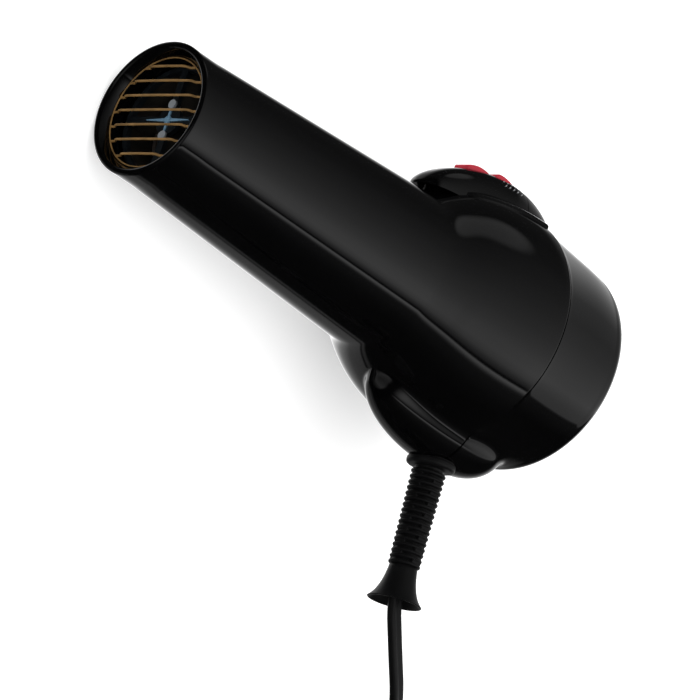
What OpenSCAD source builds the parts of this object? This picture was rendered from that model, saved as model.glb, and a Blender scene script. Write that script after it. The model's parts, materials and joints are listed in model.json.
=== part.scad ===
// Handle-less hair dryer lying on its far side, with its lead coiled beside it.
// Most sub-parts are drawn in barrel coordinates: Z runs back from the outlet along the barrel,
// X points to the switch side and Y to the side that faces up when the dryer lies down.
// lay_down() then turns them into the part's own frame: +X to the outlet, +Z up from the surface.

/* [Barrel and housing] */
// Outer radius of the outlet spigot
mouth_r = 28.5; // [28:0.1:29]
// Length of the straight outlet spigot
spigot_len = 14; // [12:0.5:16]
// Outer radius at the back of the barrel
barrel_end_r = 34.8; // [34.4:0.1:35.2]
// Outer radius of the fan housing
housing_r = 50.8; // [50.4:0.1:51.2]
// Distance from the outlet to the joint between the two housings
parting_z = 204.5; // [204:0.1:205]
// Overall length
overall_len = 250; // [249.5:0.1:250.5]
// Wall thickness of the mouldings
wall = 2.4; // [2.2:0.1:2.6]

/* [Fan and motor] */
// Radius over the impeller blades
impeller_r = 36; // [34:0.5:36.3]
// Number of impeller blades
impeller_blades = 9; // [7:1:11]
// Motor radius
motor_r = 24; // [23:0.2:24.4]
// Number of guide vanes that carry the motor
guide_vanes = 7; // [5:1:9]

/* [Heater and outlet] */
// Number of heating coil turns on the mica boards
heater_turns = 9; // [6:1:10]
// Number of wires across the outlet
grille_wires = 7; // [5:2:7]
// Distance between the outlet wires
grille_pitch = 6.2; // [5.8:0.1:6.3]

/* [Switches] */
// Width of a rocker
rocker_w = 8.6; // [8:0.1:9]
// Tilt of a rocker from its middle position, in degrees
rocker_tilt = 9; // [7:0.5:10]

/* [Lead] */
// Width of the flat lead
lead_w = 7.2; // [7:0.1:7.4]
// Thickness of the flat lead
lead_t = 3.8; // [3.6:0.1:3.9]
// Length of the strain relief outside the housing
relief_len = 61; // [60:0.5:62]

/* [Hidden] */
$fn = 96;
eps = 0.01;
slack = 0.1;
big = 400;
black = [0.04, 0.04, 0.045];
dark = [0.10, 0.10, 0.11];
red = [0.72, 0.10, 0.16];
steel = [0.70, 0.70, 0.72];
gold = [0.62, 0.48, 0.30];

// Profile of the housing
rim_r = 2.5;
rim_bore_r = mouth_r - 2 * rim_r;
rim_bore_len = 10;
flare_z = 144;
rear_r = 47;
corner_r = 7.5;
rear_face_z = overall_len - 0.4;
rear_land_r = 41.5;
filter_bore_r = 36.6;
band_steps = 8;

// How the dryer lies: it rests on the spigot's edge and on the widest ring of the housing
rest_pitch = atan((housing_r - mouth_r) / (parting_z - rim_r));
rest_lift = mouth_r * cos(rest_pitch) - rim_r * sin(rest_pitch);
centre_x = 124.84;
centre_y = -27.97;

// Switch pod
pod_axis_x = 38;
pod_half_w = 12.5;
pod_tip_z = 149;
pod_tail_z = 222;
speed_pivot = [54.2, 178];
heat_pivot = [55.8, 194.5];
speed_rocker_len = 14.6;
heat_rocker_len = 13.6;
rocker_slot_slack = 1.6;
rocker_crown_r = 20;
rocker_crown_h = 6;
rocker_pin_r = 1;
ear_gap = 0.3;
ear_t = 1.1;
ear_top = 1.6;
speed_slope = 8;
heat_slope = 2;

// Cord pod
cord_pod_x = -42;
relief_face_x = -58.4;
relief_z = 206.5;
relief_lean = 4;
relief_neck_r = 6.8;
collar_r = 10.3;
collar_t = 3.7;

// Screw posts between the two housings
post_r = 2.6;
post_at = 41;
post_angles = [45, 135, 225, 315];
screw_r = 1.25;

// Motor and fan positions along the barrel
motor_front = 158;
motor_back = 204;
shaft_r = 2;
shaft_clear = 0.04;
duct_r = 38;
impeller_front = 209;
impeller_back = 231;

// Heater
board_front = 15;
board_back = 136;
board_t = 0.8;
coil_r = 17;
coil_wire_r = 0.9;
bracket_z = 12;

// Lead: route points of the stretch between the strain relief and the coil
coil_centre = [-110, 184];
coil_mean_r = 36;
coil_lift = 0.9;
coil_layers = 4;
layer_h = 3.9;
coil_half_w = 7.4;
lead_route = [[-83, 76, 51], [-84, 84, 51], [-87, 93, 50.5], [-93, 102, 50], [-101, 111, 48.5],
    [-111, 121, 46], [-121, 131, 41.5], [-130, 142, 35], [-138, 153, 27], [-144, 162, 19.5], [-147, 170, 14.6]];
tail_route = [[-110, 223.7, 2.9], [-101, 223.7, 2.9], [-92, 223.7, 4], [-83, 223.7, 7.5], [-75, 223.7, 12],
    [-67, 223.7, 16], [-59, 223.7, 18.4], [-52, 223.7, 19]];

// Plug
plug_size = [54, 28, 38];
plug_centre = [-19, 222.7];

// ---- helper functions and modules ----

// Points of a cubic curve with the control points a, b, c, d
function curve(a, b, c, d, n) =
    [for (i = [0:n]) let (t = i / n, k = 1 - t)
        k * k * k * a + 3 * k * k * t * b + 3 * k * t * t * c + t * t * t * d];

// Points of an arc round c
function arc(c, r, a0, a1, n) = [for (i = [0:n]) let (a = a0 + (a1 - a0) * i / n) c + r * [cos(a), sin(a)]];

function reversed(list) = [for (i = [len(list) - 1:-1:0]) list[i]];

// Outer line of the flare and housing, moved inwards by g
function flare_line(g) =
    curve([barrel_end_r - g, flare_z], [35.6 - g, 160], [housing_r - 0.2 - g, 166], [housing_r - g, parting_z],
        band_steps);

// Outer line of the front housing behind the rim, moved inwards by g
function front_line(g) = concat([[mouth_r - g, spigot_len]], flare_line(g));

// Outer line of the rear housing, moved inwards by g
function rear_line(g) = concat(
    curve([housing_r - 0.5 - g, parting_z], [48.6 - g, 219], [48.2 - g, 232], [rear_r - g, 241.5], 5),
    arc([rear_r - corner_r, rear_face_z - corner_r], corner_r - g, 0, 90, 5));

// Outline of a lens-shaped pad: half width w at its middle z0, pointed ends at z0 - len and z0 + len
module lens(z0, w, len) {
    r = (w * w + len * len) / (2 * w);
    a = asin(len / r);
    polygon(concat(arc([w - r, z0], r, -a, a, 10), arc([r - w, z0], r, 180 - a, 180 + a, 10)));
}

// Prism along X over an outline drawn in Y (side) and Z (back)
module prism_x(x0, x1) {
    translate([x0, 0, 0]) rotate([90, 0, 90]) linear_extrude(x1 - x0) children();
}

// Plate along Y over an outline drawn in X and Z
module plate_y(t) {
    rotate([90, 0, 0]) linear_extrude(t, center = true) children();
}

// The half space in front of or behind the joint between the housings
module front_half() { translate([-big / 2, -big / 2, parting_z - slack / 2 - big]) cube(big); }
module rear_half() { translate([-big / 2, -big / 2, parting_z + slack / 2]) cube(big); }

// From barrel coordinates to the part's frame
module lay_down() {
    translate([centre_x, centre_y, rest_lift]) rotate([0, rest_pitch, 0]) rotate([90, 0, -90]) children();
}

// Z along the lead's way out, from the outer face of the cord pod
module at_relief() {
    translate([relief_face_x, 0, relief_z]) rotate([0, relief_lean - 90, 0]) children();
}

module ring(r0, r1, z0, z1) {
    rotate_extrude() translate([r0, z0]) square([r1 - r0, z1 - z0]);
}

module rod(r, z0, z1) { translate([0, 0, z0]) cylinder(r = r, h = z1 - z0); }

// Swelling under the lead: a spindle parallel to the barrel
module cord_spindle(g) {
    line = concat(
        curve([0, 158 + g], [12 - g, 162 + g], [18.5 - g, 186], [18.6 - g, 204.5], 6),
        curve([18.6 - g, 204.5], [18.5 - g, 222], [17 - g, 238 - g], [0, 240 - g], 6));
    translate([cord_pod_x, 0, 0]) rotate_extrude() polygon([for (p = line) [max(p[0], 0), p[1]]]);
}

// Seat for the strain relief's collar
module relief_seat() { at_relief() rod(collar_r + 1.6, -12, 0); }
module relief_hole() {
    at_relief() rod(collar_r + slack, 0, collar_t + 4);
    at_relief() rod(relief_neck_r + slack, -14, eps);
    at_relief() rod(relief_neck_r + 2 + slack, -14, -5);
}

module screw_posts(z0, z1, reach) {
    for (a = post_angles) rotate(a) {
        translate([post_at, 0, 0]) rod(post_r, z0, z1);
        translate([post_at, -1, z0]) cube([reach - post_at, 2, z1 - z0]);
    }
}

module at_posts() {
    for (a = post_angles) rotate(a) translate([post_at, 0, 0]) children();
}

// ---- housings ----

module front_shell() {
    outer = concat(arc([mouth_r - rim_r, rim_r], rim_r, -180, 0, 8), front_line(0));
    inner = concat([[mouth_r - wall, rim_bore_len]], front_line(wall));
    rotate_extrude() polygon(concat(outer, reversed(inner), [[rim_bore_r, rim_bore_len]]));
}

// Solid of the flare and housing, as a revolved block
module flare_block(g) {
    rotate_extrude() polygon(concat([[0, flare_z]], flare_line(g), [[0, parting_z]]));
}

module front_housing() {
    color(black) lay_down() difference() {
        union() {
            front_shell();
            intersection() {
                difference() {
                    union() { cord_spindle(0); relief_seat(); }
                    cord_spindle(wall);
                    flare_block(wall - eps);
                }
                front_half();
            }
            difference() {
                intersection() {
                    flare_block(-1.4);
                    prism_x(20, 80) lens(parting_z, 25, 50);
                    front_half();
                }
                flare_block(wall - eps);
            }
            intersection() {
                screw_posts(190, parting_z - slack, housing_r - wall + 0.5);
                front_half();
            }
        }
        relief_hole();
        at_posts() rod(screw_r, 192, parting_z + 1);
        translate([40, -7.3, 167.2]) cube([30, 14.6, 35.1]);
    }
}

module rear_shell() {
    outer = concat(rear_line(0), [[rear_land_r - 3, rear_face_z]]);
    land = [[filter_bore_r, rear_face_z], [filter_bore_r, 238], [filter_bore_r + wall, 238],
        [filter_bore_r + wall, rear_face_z - wall], [rear_land_r - 2, rear_face_z - wall]];
    inner = curve([housing_r - 0.5 - wall, parting_z], [48.6 - wall, 219], [48.2 - wall, 232],
        [rear_r - wall, 241.5], 5);
    rotate_extrude() polygon(concat(outer, land, reversed(inner)));
    ring(housing_r - 2 * wall - 0.4, housing_r - wall - 0.25, parting_z - 4, parting_z + 3);
}

module rear_housing() {
    color(black) lay_down() difference() {
        union() {
            intersection() {
                rear_shell();
                union() {
                    rear_half();
                    rod(housing_r - wall - slack, parting_z - 5, parting_z + 1);
                }
            }
            intersection() {
                difference() {
                    union() { cord_spindle(0); relief_seat(); }
                    cord_spindle(wall);
                    rotate_extrude() polygon(concat([[0, parting_z]], rear_line(wall - eps)));
                }
                rear_half();
            }
            intersection() {
                pod_body(0);
                rear_half();
                difference() {
                    rod(80, parting_z, 230);
                    rod(47, parting_z, 230);
                }
            }
            intersection() {
                screw_posts(parting_z + slack, rear_face_z - 1, 45.5);
                rear_half();
            }
        }
        relief_hole();
        at_posts() rod(1.5, 200, 260);
        at_posts() rod(2.9, 242, 260);
        for (a = post_angles) rotate(a) translate([44, -1.2, parting_z - 5]) cube([5, 2.4, 5]);
        translate([35, -12, 190]) cube([20, 24, 12]);
        translate([-60, -16, 190]) cube([20, 32, 12]);
    }
}

// ---- switch pod ----

// Whale-backed body: a spindle parallel to the barrel, cut to a lens-shaped plan
module pod_body(g) {
    top = concat(
        curve([2.4, pod_tip_z + g], [14 - g, 156 + g], [21.5 - g, 176], [23.4 - g, 197], 6),
        curve([23.4 - g, 197], [23.6 - g, 206], [20 - g, 217], [12 - g, pod_tail_z], 4));
    intersection() {
        translate([pod_axis_x, 0, 0])
            rotate_extrude() polygon(concat([[0, pod_tip_z + g]], top, [[0, pod_tail_z]]));
        prism_x(40, 80) union() {
            intersection() {
                lens(parting_z - 8, pod_half_w - g + 1.6, 52);
                translate([-pod_half_w + g, 100]) square([2 * (pod_half_w - g), 200]);
            }
            translate([0, pod_tip_z + 9 + g]) circle(r = 7);
        }
    }
}

module rocker_slot(pivot, len) {
    gap = 0.35;
    translate([pivot[0] - 5, -rocker_w / 2 - gap, pivot[1] - (len + rocker_slot_slack) / 2])
        cube([20, rocker_w + 2 * gap, len + rocker_slot_slack]);
}

// Room for the ears and the pin under the pod's roof
module ear_pocket(pivot) {
    half = rocker_w / 2 + ear_gap + ear_t + slack;
    translate([pivot[0] - 5, -half, pivot[1] - 2.3]) cube([5 + ear_top + 0.15, 2 * half, 4.6]);
}

module switch_pod() {
    color(black) lay_down() difference() {
        intersection() {
            pod_body(0);
            front_half();
        }
        rotate_extrude() polygon(concat([[0, spigot_len]], front_line(-1.5), [[0, parting_z]]));
        intersection() {
            pod_body(1.9);
            translate([0, -30, 166]) cube([80, 60, 36.5]);
        }
        rocker_slot(speed_pivot, speed_rocker_len);
        rocker_slot(heat_pivot, heat_rocker_len);
        ear_pocket(speed_pivot);
        ear_pocket(heat_pivot);
    }
}

// Ears that carry a rocker's pin
module pin_ears(pivot) {
    for (s = [-1, 1]) translate([0, s * (rocker_w / 2 + ear_gap + ear_t / 2), 0]) difference() {
        translate([50.6, -ear_t / 2, pivot[1] - 2.2]) cube([pivot[0] - 50.6 + ear_top, ear_t, 4.4]);
        translate([pivot[0], 0, pivot[1]]) rotate([90, 0, 0]) cylinder(r = rocker_pin_r, h = 4, center = true);
    }
}

module switch_frame() {
    color(dark) lay_down() {
        difference() {
            translate([49.7, -6.3, 169.5]) cube([1.1, 12.6, 32.5]);
            for (p = [speed_pivot, heat_pivot]) translate([49, -4.2, p[1] - 5.5]) cube([3, 8.4, 11]);
        }
        pin_ears(speed_pivot);
        pin_ears(heat_pivot);
    }
}

// A rocker: domed cap with a blade under it that works the switch unit
module rocker(pivot, len, tilt) {
    lay_down() translate([pivot[0], 0, pivot[1]]) rotate([0, tilt, 0]) difference() {
        union() {
            intersection() {
                translate([rocker_crown_h - rocker_crown_r, 0, 0]) rotate([90, 0, 0])
                    cylinder(r = rocker_crown_r, h = rocker_w, center = true);
                translate([1.6, -rocker_w / 2, -len / 2]) cube([8, rocker_w, len]);
            }
            rotate([90, 0, 0]) cylinder(r = 2.4, h = rocker_w - 1, center = true);
            translate([-4.2, -1.5, -0.8]) cube([4.2, 3, 1.6]);
        }
        rotate([90, 0, 0]) cylinder(r = rocker_pin_r + 0.05, h = 20, center = true);
    }
}

module speed_rocker() { color(red) rocker(speed_pivot, speed_rocker_len, speed_slope); }
module heat_rocker() { color(red) rocker(heat_pivot, heat_rocker_len, heat_slope - rocker_tilt); }

module rocker_pin(pivot) {
    lay_down() translate([pivot[0], 0, pivot[1]])
        rotate([90, 0, 0]) cylinder(r = rocker_pin_r, h = rocker_w + 2 * (ear_gap + ear_t), center = true);
}

module speed_rocker_pin() { color(steel) rocker_pin(speed_pivot); }
module heat_rocker_pin() { color(steel) rocker_pin(heat_pivot); }

// Switch unit under a rocker, with its three solder tags
module switch_unit(pivot) {
    lay_down() {
        difference() {
            translate([43.6, -4, pivot[1] - 5]) cube([7, 8, 10]);
            translate([48, -2, pivot[1] - 2.5]) cube([4, 4, 5]);
        }
        for (k = [-1:1]) translate([41.4, -0.4, pivot[1] - 0.8 + 3.2 * k]) cube([2.3, 0.8, 1.6]);
    }
}

module speed_switch_unit() { color([0.16, 0.16, 0.17]) switch_unit(speed_pivot); }
module heat_switch_unit() { color([0.16, 0.16, 0.17]) switch_unit(heat_pivot); }

// ---- outlet and heater ----

module grille_ring() { color(gold) lay_down() ring(rim_bore_r - 1.5, rim_bore_r - 0.05, 6.4, 7.6); }

// One outlet wire: two short feet on the ring and a raised middle
module outlet_wire(x) {
    reach = sqrt(pow(rim_bore_r - 1.1, 2) - x * x);
    step = min(4, reach * 0.3);
    half = [[reach - step * 1.4, 3.4], [reach - step, 4.1], [reach - step * 0.6, 5.4], [reach, 5.7]];
    line = concat([for (i = [3:-1:0]) [x, -half[i][0], half[i][1]]], [for (q = half) [x, q[0], q[1]]]);
    tube(line, 1.7, 1.5, [1, 0, 0]);
}

module outlet_wires() {
    color(gold) lay_down()
        for (i = [0:grille_wires - 1]) outlet_wire((i - (grille_wires - 1) / 2) * grille_pitch);
}

module element_bracket() {
    color([0.45, 0.46, 0.48]) lay_down() difference() {
        union() {
            rod(6, bracket_z, bracket_z + 2);
            for (a = [0, 90]) rotate(a) translate([-22.6, -1.6, bracket_z]) cube([45.2, 3.2, 2]);
            ring(21.2, 23.2, bracket_z, bracket_z + 2.6);
        }
        for (s = [-1, 1]) translate([s * 6.6, 0, 0]) rod(1.05, bracket_z - 1, bracket_z + 4);
    }
}

module bracket_rivets() {
    color(steel) lay_down() for (s = [-1, 1]) translate([s * 6.6, 0, 0]) {
        rod(1.05, bracket_z - 0.2, bracket_z + 2.9);
        rod(1.9, bracket_z - 0.9, bracket_z);
    }
}

module heat_shield() {
    color([0.78, 0.72, 0.6]) lay_down() rotate_extrude()
        polygon([[24.6, 15], [30.4, 138], [31, 138], [25.2, 15]]);
}

// Half of the crossed mica boards, notched for the heating coils
module mica_board(slot_front) {
    hub = 1.2;
    difference() {
        plate_y(board_t) polygon([[-23.8, board_front], [23.8, board_front], [29.4, board_back], [-29.4, board_back]]);
        translate([-board_t / 2 - 0.1, -2, slot_front ? board_front - 1 : (board_front + board_back) / 2])
            cube([board_t + 0.2, 4, (board_back - board_front) / 2 + 2]);
        for (i = [0:heater_turns - 1]) for (s = [-1, 1])
            translate([s * coil_r - hub, -2, heater_z(i) - hub]) cube([2 * hub, 4, 2 * hub]);
    }
}

function heater_z(i) = 24 + i * 11.5;

module mica_board_upright() { color([0.82, 0.76, 0.62]) lay_down() mica_board(true); }
module mica_board_flat() { color([0.82, 0.76, 0.62]) lay_down() rotate(90) mica_board(false); }

module heating_coils() {
    color([0.55, 0.5, 0.45]) lay_down() for (i = [0:heater_turns - 1])
        translate([0, 0, heater_z(i)]) rotate_extrude() translate([coil_r, 0]) circle(r = coil_wire_r, $fn = 24);
}

module thermostat() {
    color(steel) lay_down() translate([9, 0.5, 120]) rotate([-90, 0, 0]) {
        rod(6, 0, 3.4);
        rod(4.6, 3.4, 5);
    }
}

module thermal_fuse() {
    color([0.75, 0.6, 0.3]) lay_down() translate([-9, 2.4, 108]) {
        rod(1.9, 0, 11);
        rod(0.5, -5, 16);
    }
}

// ---- motor and fan ----

module motor_cradle() {
    color([0.20, 0.20, 0.22]) lay_down() {
        ring(duct_r - 1, duct_r, 174, 235);
        ring(motor_r + 1, motor_r + 2.4, 166, 202);
        for (i = [0:guide_vanes - 1]) rotate(i * 360 / guide_vanes) translate([motor_r + 1.8, -0.7, 176])
            cube([duct_r - motor_r - 2.3, 1.4, 22]);
        for (a = post_angles) rotate(a) translate([duct_r - 0.5, -1.2, 178]) cube([6.4, 2.4, 9]);
    }
}

module motor_sleeve() { color([0.08, 0.08, 0.08]) lay_down() ring(motor_r + 0.05, motor_r + 0.95, 168, 201); }

module motor_can() {
    color(steel) lay_down() difference() {
        rod(motor_r, motor_front, motor_back - 2);
        rod(motor_r - 1.2, motor_front + 1.4, motor_back);
        rod(4.5, motor_front - 1, motor_front + 3);
        for (a = [0:60:300]) rotate(a) translate([13, 0, 0]) rod(3, motor_front - 1, motor_front + 3);
    }
}

module motor_end_cap() {
    color([0.14, 0.14, 0.15]) lay_down() difference() {
        rod(motor_r - 0.2, motor_back - 2, motor_back);
        rod(4.5, motor_back - 3, motor_back + 1);
        for (a = [30:60:330]) rotate(a) translate([14, 0, 0]) rod(2.6, motor_back - 3, motor_back + 1);
    }
}

module motor_bearings() {
    color(gold) lay_down() {
        ring(shaft_r + shaft_clear, 4.5, motor_front - 0.6, motor_front + 4);
        ring(shaft_r + shaft_clear, 4.5, motor_back - 4, motor_back + 0.6);
    }
}

module field_magnets() {
    color([0.25, 0.25, 0.27]) lay_down() difference() {
        ring(17.6, motor_r - 1.25, 164, 194);
        for (s = [-1, 1]) translate([-4, s * 20 - 6, 160]) cube([8, 12, 40]);
    }
}

module armature() {
    color([0.45, 0.28, 0.16]) lay_down() difference() {
        rod(16.4, 166, 192);
        rod(shaft_r + 0.01, 160, 200);
        for (a = [0:45:315]) rotate(a) translate([11, -1, 160]) cube([8, 2, 40]);
    }
}

module commutator() { color([0.72, 0.45, 0.3]) lay_down() ring(shaft_r + 0.01, 6, 193, 199); }
module motor_shaft() { color(steel) lay_down() rod(shaft_r, 154, 237); }

module impeller() {
    pitch = 38;
    color([0.12, 0.12, 0.13]) lay_down() difference() {
        union() {
            rod(15, impeller_front, impeller_back - 2);
            intersection() {
                ring(14, impeller_r, impeller_front, impeller_back);
                for (i = [0:impeller_blades - 1]) rotate(i * 360 / impeller_blades)
                    translate([25, 0, (impeller_front + impeller_back) / 2]) rotate([pitch, 0, 0])
                        cube([26, 1.4, 40], center = true);
            }
        }
        rod(shaft_r + 0.01, 200, 240);
        rod(12, impeller_front - 1, impeller_front + 12);
    }
}

module impeller_nut() {
    color(steel) lay_down() difference() {
        translate([0, 0, impeller_back - 2]) cylinder(r = 4.2, h = 3.4, $fn = 6);
        rod(shaft_r + 0.01, 200, 240);
    }
}

// ---- rear filter ----

module rear_filter_cap() {
    color(dark) lay_down() {
        for (r = [7, 13, 19, 25, 31]) ring(r, r + 1.5, overall_len - 2.4, overall_len - 0.2);
        rod(3.6, overall_len - 2.4, overall_len);
        difference() {
            ring(34.6, filter_bore_r - 0.3, 239, overall_len);
            for (a = [0:120:240]) rotate(a) translate([36, -7, 238]) cube([2, 14, 4]);
        }
        for (a = [0:30:330]) rotate(a) translate([3, -0.8, overall_len - 2.4]) cube([32, 1.6, 2]);
    }
}

module filter_screen() { color(steel) lay_down() rod(34.5, 244, 244.5); }

module housing_screws() {
    color(steel) lay_down() at_posts() {
        rod(screw_r - 0.02, 194, 242.5);
        rod(2.6, 242, 244);
    }
}

// ---- lead inside the dryer ----

module strain_relief() {
    rib_pitch = 2.6;
    color(dark) lay_down() at_relief() difference() {
        union() {
            rod(relief_neck_r, -11, 0.5);
            rod(relief_neck_r + 1.9, -8.6, -5.1);
            rod(collar_r, 0, collar_t);
            rotate_extrude() polygon(concat([[0, collar_t - 0.5], [6.1, collar_t - 0.5], [5.4, relief_len - 15]],
                curve([5.9, relief_len - 15], [6.6, relief_len - 8], [8.4, relief_len - 3], [11.4, relief_len], 5),
                [[10.2, relief_len]],
                reversed(curve([5.2, relief_len - 12], [5.8, relief_len - 8], [7.4, relief_len - 3],
                    [10.2, relief_len], 5)), [[0, relief_len - 12]]));
            for (i = [0:14]) rod(7.3 - 0.035 * i, collar_t + 1.6 + i * rib_pitch, collar_t + 3 + i * rib_pitch);
        }
        translate([-lead_w / 2 - 0.05, -lead_t / 2 - 0.05, -20]) cube([lead_w + 0.1, lead_t + 0.1, 68]);
    }
}

module cord_clamp() {
    color([0.2, 0.2, 0.22]) lay_down() translate([-41.5, 0, 210]) difference() {
        cube([4, 22, 7], center = true);
        for (s = [-1, 1]) translate([0, s * 8, 0]) rotate([0, 90, 0]) cylinder(r = 1.2, h = 8, center = true);
    }
}

module clamp_screws() {
    color(steel) lay_down() for (s = [-1, 1]) translate([-41.5, s * 8, 210]) rotate([0, 90, 0]) {
        rod(1.15, -4.5, 2.2);
        rod(2.1, 2.1, 3.4);
    }
}

// Insulated wire that runs round inside the wall from the clamp to the switch units
module inner_wire(z, from, sweep) {
    lay_down() translate([0, 0, z]) rotate(from) rotate_extrude(angle = sweep)
        translate([45.4, 0]) circle(r = 0.9, $fn = 20);
}

module live_wire() { color([0.4, 0.2, 0.1]) inner_wire(187.6, 12, 156); }
module neutral_wire() { color([0.15, 0.25, 0.6]) inner_wire(187.6, 192, 156); }

// ---- free lead and plug ----

function unit(v) = v / norm(v);
function heading(p, i) = unit(p[min(i + 1, len(p) - 1)] - p[max(i - 1, 0)]);
function across(d) = unit([-d[1], d[0], 0]);

// Eight-sided section round a point, w wide along s and t thick
function section(c, d, s, w, t) = let (n = cross(d, s))
    [for (q = [[1, 0.45], [0.62, 1], [-0.62, 1], [-1, 0.45], [-1, -0.45], [-0.62, -1], [0.62, -1], [1, -0.45]])
        c + q[0] * w / 2 * s + q[1] * t / 2 * n];

// One closed tube through the points p; its width is level, or along side where that is given
module tube(p, w, t, side) {
    m = len(p);
    points = [for (i = [0:m - 1]) let (d = heading(p, i))
        each section(p[i], d, is_undef(side) ? across(d) : side, w, t)];
    sides = [for (i = [0:m - 2], k = [0:7]) let (a = i * 8 + k, b = i * 8 + (k + 1) % 8)
        each [[a, b + 8, b], [a, a + 8, b + 8]]];
    last = (m - 1) * 8;
    polyhedron(points, concat(sides, [[for (k = [0:7]) k]], [[for (k = [7:-1:0]) last + k]]));
}

module lead_run() { color(black) tube(lead_route, lead_w, lead_t); }
module lead_tail() { color(black) tube(tail_route, lead_w, lead_t); }

module lead_coil() {
    color(black) translate([coil_centre[0], coil_centre[1], coil_lift]) rotate_extrude()
        translate([coil_mean_r - coil_half_w, 0]) square([2 * coil_half_w, coil_layers * layer_h]);
}

module lead_tie() {
    h = coil_layers * layer_h + coil_lift;
    color([0.05, 0.05, 0.05]) translate([coil_centre[0], coil_centre[1], 0]) rotate(-50) difference() {
        translate([coil_mean_r - coil_half_w - 1, -5, 0]) cube([2 * coil_half_w + 2, 10, h + 1]);
        translate([coil_mean_r - coil_half_w - 0.1, -6, 0.8]) cube([2 * coil_half_w + 0.2, 12, h - 0.7]);
    }
}

// The plug lies on its narrow side: X runs on from the lead, Y points to the side with the blades
module at_plug() { translate([plug_centre[0], plug_centre[1], plug_size[2]]) rotate([180, 0, 0]) children(); }

module plug_block(y0, y1, g) {
    translate([-plug_size[0] / 2 + g, y0, g]) cube([plug_size[0] - 2 * g, y1 - y0, plug_size[2] - 2 * g]);
}

module plug_body() {
    color(dark) at_plug() difference() {
        plug_block(-plug_size[1] / 2, 6, 0);
        plug_block(-plug_size[1] / 2 + 2, 7, 2);
        for (x = [-9, 11]) translate([x - 4.2, -plug_size[1] / 2 - 1, plug_size[2] / 2 - 4.2]) cube([8.4, 4, 8.4]);
        translate([-plug_size[0] / 2 - 1, -6, plug_size[2] / 2 - 5]) cube([4, 10, 10]);
    }
}

module plug_cover() {
    color(dark) at_plug() difference() {
        plug_block(6.05, plug_size[1] / 2, 0);
        for (s = [-1, 1]) translate([12, 4, plug_size[2] / 2 + s * 6.35 - 3.3]) cube([1.7, 12, 6.6]);
        for (s = [-1, 1]) translate([s * 20, 0, plug_size[2] / 2])
            rotate([-90, 0, 0]) rod(1.6, 0, plug_size[1] / 2 + 1);
    }
}

module plug_blades() {
    color([0.8, 0.72, 0.45]) at_plug()
        for (s = [-1, 1]) translate([12.05, 5, plug_size[2] / 2 + s * 6.35 - 3.2]) cube([1.6, 26, 6.4]);
}

module plug_screws() {
    color(steel) at_plug() for (s = [-1, 1]) translate([s * 20, 0, plug_size[2] / 2])
        rotate([-90, 0, 0]) rod(1.55, 7, plug_size[1] / 2 - 0.6);
}

module plug_circuit_board() {
    color([0.1, 0.35, 0.2]) at_plug() translate([-22, -1, 4]) cube([42, 1.6, 30]);
}

module plug_button(x) {
    at_plug() translate([x - 3.9, -plug_size[1] / 2 - 1.6, plug_size[2] / 2 - 3.9]) cube([7.8, 8, 7.8]);
}

module test_button() { color([0.1, 0.1, 0.1]) plug_button(-9); }
module reset_button() { color(red) plug_button(11); }

module plug_relief() {
    color(dark) at_plug() translate([-plug_size[0] / 2 + 2, -1, plug_size[2] / 2]) rotate([0, -90, 0]) rod(4.6, -1.8, 8);
}

front_housing();
rear_housing();
switch_pod();
switch_frame();
speed_rocker();
heat_rocker();
speed_rocker_pin();
heat_rocker_pin();
speed_switch_unit();
heat_switch_unit();
grille_ring();
outlet_wires();
element_bracket();
bracket_rivets();
heat_shield();
mica_board_upright();
mica_board_flat();
heating_coils();
thermostat();
thermal_fuse();
motor_cradle();
motor_sleeve();
motor_can();
motor_end_cap();
motor_bearings();
field_magnets();
armature();
motor_shaft();
commutator();
impeller();
impeller_nut();
rear_filter_cap();
filter_screen();
housing_screws();
strain_relief();
cord_clamp();
clamp_screws();
live_wire();
neutral_wire();
lead_run();
lead_coil();
lead_tail();
lead_tie();
plug_body();
plug_cover();
plug_blades();
plug_screws();
plug_circuit_board();
test_button();
reset_button();
plug_relief();
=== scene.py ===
# Looks of the handle-less hair dryer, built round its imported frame. Blender lengths are in metres. Shapes
# are drawn in millimetres, in barrel coordinates (u, l, s): u points to the switches, l to the side that
# faces up, and s back from the outlet.

import json
import math

import bmesh
import bpy
import numpy as np
from mathutils import Matrix, Vector


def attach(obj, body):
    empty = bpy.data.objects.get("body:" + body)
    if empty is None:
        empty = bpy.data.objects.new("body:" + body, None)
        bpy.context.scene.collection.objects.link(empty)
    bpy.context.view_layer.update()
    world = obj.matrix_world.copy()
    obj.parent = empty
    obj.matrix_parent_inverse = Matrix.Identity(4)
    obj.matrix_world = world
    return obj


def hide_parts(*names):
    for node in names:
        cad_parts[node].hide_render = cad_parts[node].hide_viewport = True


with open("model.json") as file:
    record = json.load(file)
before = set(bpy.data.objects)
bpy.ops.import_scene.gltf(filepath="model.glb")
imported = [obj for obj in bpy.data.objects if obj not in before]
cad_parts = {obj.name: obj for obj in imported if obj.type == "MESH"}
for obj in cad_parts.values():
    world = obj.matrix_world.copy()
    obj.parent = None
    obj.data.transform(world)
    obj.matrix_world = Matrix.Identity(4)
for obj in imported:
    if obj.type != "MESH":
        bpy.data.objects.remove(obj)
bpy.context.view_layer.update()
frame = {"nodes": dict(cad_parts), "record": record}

MM = 0.001
MOUNTS = {m["name"]: m for m in frame["record"]["mounts"]}

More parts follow.
